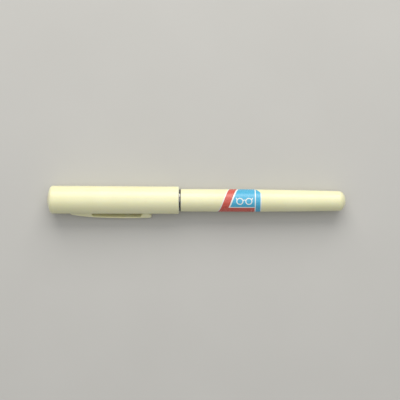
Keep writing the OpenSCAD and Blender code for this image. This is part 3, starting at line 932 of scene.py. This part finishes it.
# %% Make the pad
pad_low, pad_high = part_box("chamois_pad")
pad_r = (pad_high.z - pad_low.z) / 2 / MM
pad_rim = pad_low.x / MM
PAD_DISH, PAD_THICK = 0.55, 0.5
PAD_RINGS = 44
NAP_HEIGHT = 0.02 * MM        # how far the nap moves a point of the face
RIM_NAP = 0.03 * MM           # how far it draws in a point of the rim
front = [(pad_rim + 0.02 + PAD_DISH * (1 - (i / PAD_RINGS) ** 2), (pad_r - 0.1) * i / PAD_RINGS)
         for i in range(PAD_RINGS + 1)]
back = [(x + PAD_THICK - 0.04, r) for x, r in reversed(front)]
pad_outline = [(front[1][0], 0.02)] + front[1:] + [(pad_rim + 0.2, pad_r - 0.01)] + back[:-1]
pad = turned_piece("chamois", pad_outline + [(back[-1][0], 0.0)], 120)
for point in pad.data.vertices:
    nap = noise.noise(point.co * 5200) * 0.6 + noise.noise(point.co * 14000) * 0.4
    share = 1.0 if point.co.x < back[0][0] * MM else 0.2
    point.co.x += NAP_HEIGHT * nap * share
    radial = Vector((0, point.co.y, point.co.z))
    if radial.length > (pad_r - 0.3) * MM:
        point.co -= radial.normalized() * RIM_NAP * abs(nap)
pad.data.update()
print("pad points:", len(pad.data.vertices))


# %% Napped and porous finishes


def soft_black_finish(name, colour, powder, cell_mm, depth_mm, sheen):
    """Leather nap or foam, loaded with carbon powder."""
    finish, tree, surface, position = start_finish(name)
    cells = add(tree, "TexVoronoi", {"Vector": position, "Scale": 1 / cell_mm, "Randomness": 1.0})
    fibres = add(tree, "TexNoise", {"Vector": position, "Scale": 2.2 / cell_mm, "Detail": 5.0,
                                    "Roughness": 0.7})
    cloud = add(tree, "TexNoise", {"Vector": position, "Scale": 0.7, "Detail": 3.0})
    holes = ramped(tree, cells.outputs["Distance"], 0.15, 0.6)
    tone = blended(tree, ramped(tree, cloud.outputs["Fac"], 0.4, 0.7), colour, powder)
    # The pores are painted darker as well as pushed in: painted shade inside them.
    tree.links.new(blended(tree, sums(tree, "MULTIPLY", holes, 0.6), tone, (0.006, 0.006, 0.006, 1)),
                   surface.inputs["Base Color"])
    tree.links.new(sums(tree, "MULTIPLY_ADD", fibres.outputs["Fac"], 0.2, 0.78),
                   surface.inputs["Roughness"])
    surface.inputs["Sheen Weight"].default_value = sheen
    surface.inputs["Sheen Roughness"].default_value = 0.4
    height = sums(tree, "SUBTRACT", sums(tree, "MULTIPLY", fibres.outputs["Fac"], 0.7), holes)
    bumped(tree, surface, height, depth_mm)
    return finish


chamois_black = soft_black_finish("chamois_black", (0.028, 0.028, 0.030, 1), (0.060, 0.058, 0.058, 1),
                                  0.10, 0.05, 0.5)
foam_black = soft_black_finish("foam_black", (0.024, 0.024, 0.026, 1), (0.050, 0.050, 0.050, 1),
                               0.34, 0.14, 0.2)
finish_piece(pad, chamois_black, "carbon_chamois", "chamois_pad")
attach(pad, "tip")

# %% [markdown]
# ## Carbon foam
#
# Behind the pad, in the top of the cap, sits a plug of open-cell foam that puts fresh carbon on the
# pad each time the pen is closed. Foam is mostly holes, so its front is a fine mesh that is pushed in
# wherever a cell pattern has a hole.

# %% Make the foam
foam_low, foam_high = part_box("carbon_sponge")
foam_front, foam_back = foam_high.x / MM, foam_low.x / MM
foam_r = (foam_high.z - foam_low.z) / 2 / MM
FACE_R = 4.35                 # radius of the face, inside the retainer ring
FACE_RINGS = 34
FACE_CROWN = 0.48             # how much lower the face is at its edge
EDGE_DROP = 0.5               # from the front back to where the side starts
STEP_BACK = 1.15              # from there to the step behind the retainer ring
ROOM = 0.02                   # keeps the foam off the cup's wall and floor
PORE_DEEP, SIDE_PORE_DEEP = 0.22 * MM, 0.10 * MM
face = [(foam_front - FACE_CROWN * (i / FACE_RINGS) ** 2, FACE_R * i / FACE_RINGS)
        for i in range(1, FACE_RINGS + 1)]
flank = [(foam_front - EDGE_DROP - 0.65 * i / 4, FACE_R) for i in range(1, 5)]
body = [(foam_front - EDGE_DROP - STEP_BACK - i * 0.4, foam_r - ROOM) for i in range(9)]
foam = turned_piece("carbon_foam", [(foam_front, 0.02)] + face + flank + body
                    + [(foam_back + ROOM, foam_r - ROOM), (foam_back + ROOM, 0.0)], 110)
for point in foam.data.vertices:
    if point.co.x < (foam_back + 0.3) * MM:
        continue
    cell = noise.cell_vector(point.co * 2600)
    hole = max(0.0, noise.noise(point.co * 3400) + 0.25 * noise.noise(point.co * 9000))
    point.co.x -= PORE_DEEP * hole
    radial = Vector((0, point.co.y, point.co.z))
    if radial.length > (FACE_R - 0.2) * MM:
        point.co -= radial.normalized() * SIDE_PORE_DEEP * hole * (0.7 + 0.3 * cell.x)
foam.data.update()
finish_piece(foam, foam_black, "carbon_foam", "carbon_sponge")
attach(foam, "cap")
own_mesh(foam)

# %% [markdown]
# ## The dusting brush
#
# The tuft is about a thousand soft hairs, gripped in the ferrule and spreading to a full belly before
# they end in a rounded point. One hair is modelled as a thin three-sided tube that tapers. Then a copy
# is laid for each place in the tuft: places follow the spiral of a sunflower's seeds, which fills a
# circle evenly, and each hair's own random bend keeps the tuft from looking combed.

# %% One hair
HAIR_STEPS = 8
nothing_selected()
bpy.ops.mesh.primitive_cone_add(vertices=3, radius1=1.0, radius2=0.25, depth=1.0, end_fill_type="NGON",
                                location=(0, 0, 0.5))
hair = named("one_hair")
bpy.ops.object.mode_set(mode="EDIT")
for i in range(1, HAIR_STEPS):
    cut((0, 0, i / HAIR_STEPS), (0, 0, 1))
bpy.ops.object.mode_set(mode="OBJECT")
hair_points = [v.co.copy() for v in hair.data.vertices]
print("one hair:", len(hair_points), "points,", len(hair.data.polygons), "faces")

# %% Lay the tuft
HAIRS = 1150
HAIR_ROOT_R = 0.062            # radius of a hair at its root
tuft_low, tuft_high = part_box("brush_hair")
tuft_r = (tuft_high.z - tuft_low.z) / 2 / MM
tuft_end = tuft_high.x / MM
GRIPPED = 3.5                 # length of hair inside the ferrule
FERRULE_WALL, MOUTH_TAPER, SLACK = 0.25, 0.25, 0.08
BELLY_X = 35.0                # where the tuft is widest
tuft_start = ferrule_end - GRIPPED
throat_r = ferrule_r - FERRULE_WALL - MOUTH_TAPER - SLACK
GOLDEN_ANGLE = math.pi * (3 - math.sqrt(5))


def tuft_envelope(x):
    """The tuft's outer radius along the pen."""
    if x < ferrule_end:
        return throat_r
    share = min(1.0, (x - ferrule_end) / (BELLY_X - ferrule_end))
    return throat_r + (tuft_r - 0.12 - throat_r) * math.sin(share * math.pi / 2)


draw = random.Random(7)
nothing_selected()
for i in range(HAIRS):
    rho = math.sqrt((i + 0.5) / HAIRS)
    phi = i * GOLDEN_ANGLE
    dome = math.sqrt(max(0.0, 1 - rho**2)) ** 1.15
    end_x = BELLY_X + (tuft_end - BELLY_X) * dome - draw.uniform(0, 1.1)
    end_x = max(end_x, BELLY_X - 2.0)
    sway, lean = draw.uniform(-0.16, 0.16), draw.uniform(-0.10, 0.10)
    closing = 0.10 + 0.12 * rho
    strand = bpy.data.objects.new("strand", hair.data.copy())
    for point, p in zip(strand.data.vertices, hair_points):
        x = tuft_start + (end_x - tuft_start) * p.z
        loose = max(0.0, (x - ferrule_end) / (tuft_end - ferrule_end))
        radius = tuft_envelope(x) * rho * (1 - closing * loose**2) + lean * loose
        angle = phi + sway * loose / max(rho, 0.25)
        thick = HAIR_ROOT_R * (1 - 0.35 * p.z)
        point.co = (x * MM, (radius * math.cos(angle) + p.x * thick) * MM,
                    (radius * math.sin(angle) + p.y * thick) * MM)
    bpy.context.collection.objects.link(strand)
    strand.select_set(True)
bpy.data.objects.remove(hair)
bpy.context.view_layer.objects.active = strand
bpy.ops.object.join()
tuft = bpy.context.object
tuft.name = tuft.data.name = "tuft"
bpy.ops.object.mode_set(mode="EDIT")
bpy.ops.mesh.select_all(action="SELECT")
bpy.ops.mesh.normals_make_consistent(inside=False)
bpy.ops.object.mode_set(mode="OBJECT")
bpy.ops.object.shade_smooth()
print("tuft faces:", len(tuft.data.polygons))

# %% [markdown]
# ## Hair finish
#
# Soft brush hair is pale brown at the root and lighter towards the tip, and no two hairs are the same.
# A noise that hardly changes along the tuft but quickly across it gives each hair its own tone.

# %% Hair finish
hair_finish, tree, surface, position = start_finish("brush_fibre")
strands = add(tree, "Mapping", {"Vector": position, "Scale": (0.06, 7.0, 7.0)})
strand_tone = add(tree, "TexNoise", {"Vector": strands.outputs[0], "Scale": 1.0, "Detail": 2.0})
length_x = add(tree, "SeparateXYZ", {0: position}).outputs["X"]
tip_share = ramped(tree, length_x, ferrule_end, tuft_end)
root_colour = blended(tree, ramped(tree, strand_tone.outputs["Fac"], 0.3, 0.7),
                      (0.34, 0.22, 0.11, 1), (0.56, 0.42, 0.26, 1))
tree.links.new(blended(tree, tip_share, root_colour, (0.80, 0.71, 0.55, 1)), surface.inputs["Base Color"])
tree.links.new(sums(tree, "MULTIPLY_ADD", strand_tone.outputs["Fac"], 0.25, 0.36),
               surface.inputs["Roughness"])
surface.inputs["Sheen Weight"].default_value = 0.3
bumped(tree, surface, strand_tone.outputs["Fac"], 0.03)
finish_piece(tuft, hair_finish, "brush_fibre", "brush_hair")
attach(tuft, "core")

# %% [markdown]
# ## The table's finish
#
# The table is a plain pale laminate, with a faint unevenness so that its light isn't dead flat.

# %% Table finish
pale, tree, surface, position = start_finish("pale_laminate")
unevenness = add(tree, "TexNoise", {"Vector": position, "Scale": 0.02, "Detail": 3.0})
tree.links.new(blended(tree, unevenness.outputs["Fac"], (0.49, 0.48, 0.45, 1), (0.53, 0.52, 0.49, 1)),
               surface.inputs["Base Color"])
surface.inputs["Roughness"].default_value = 0.75
table_top.data.materials.append(pale)
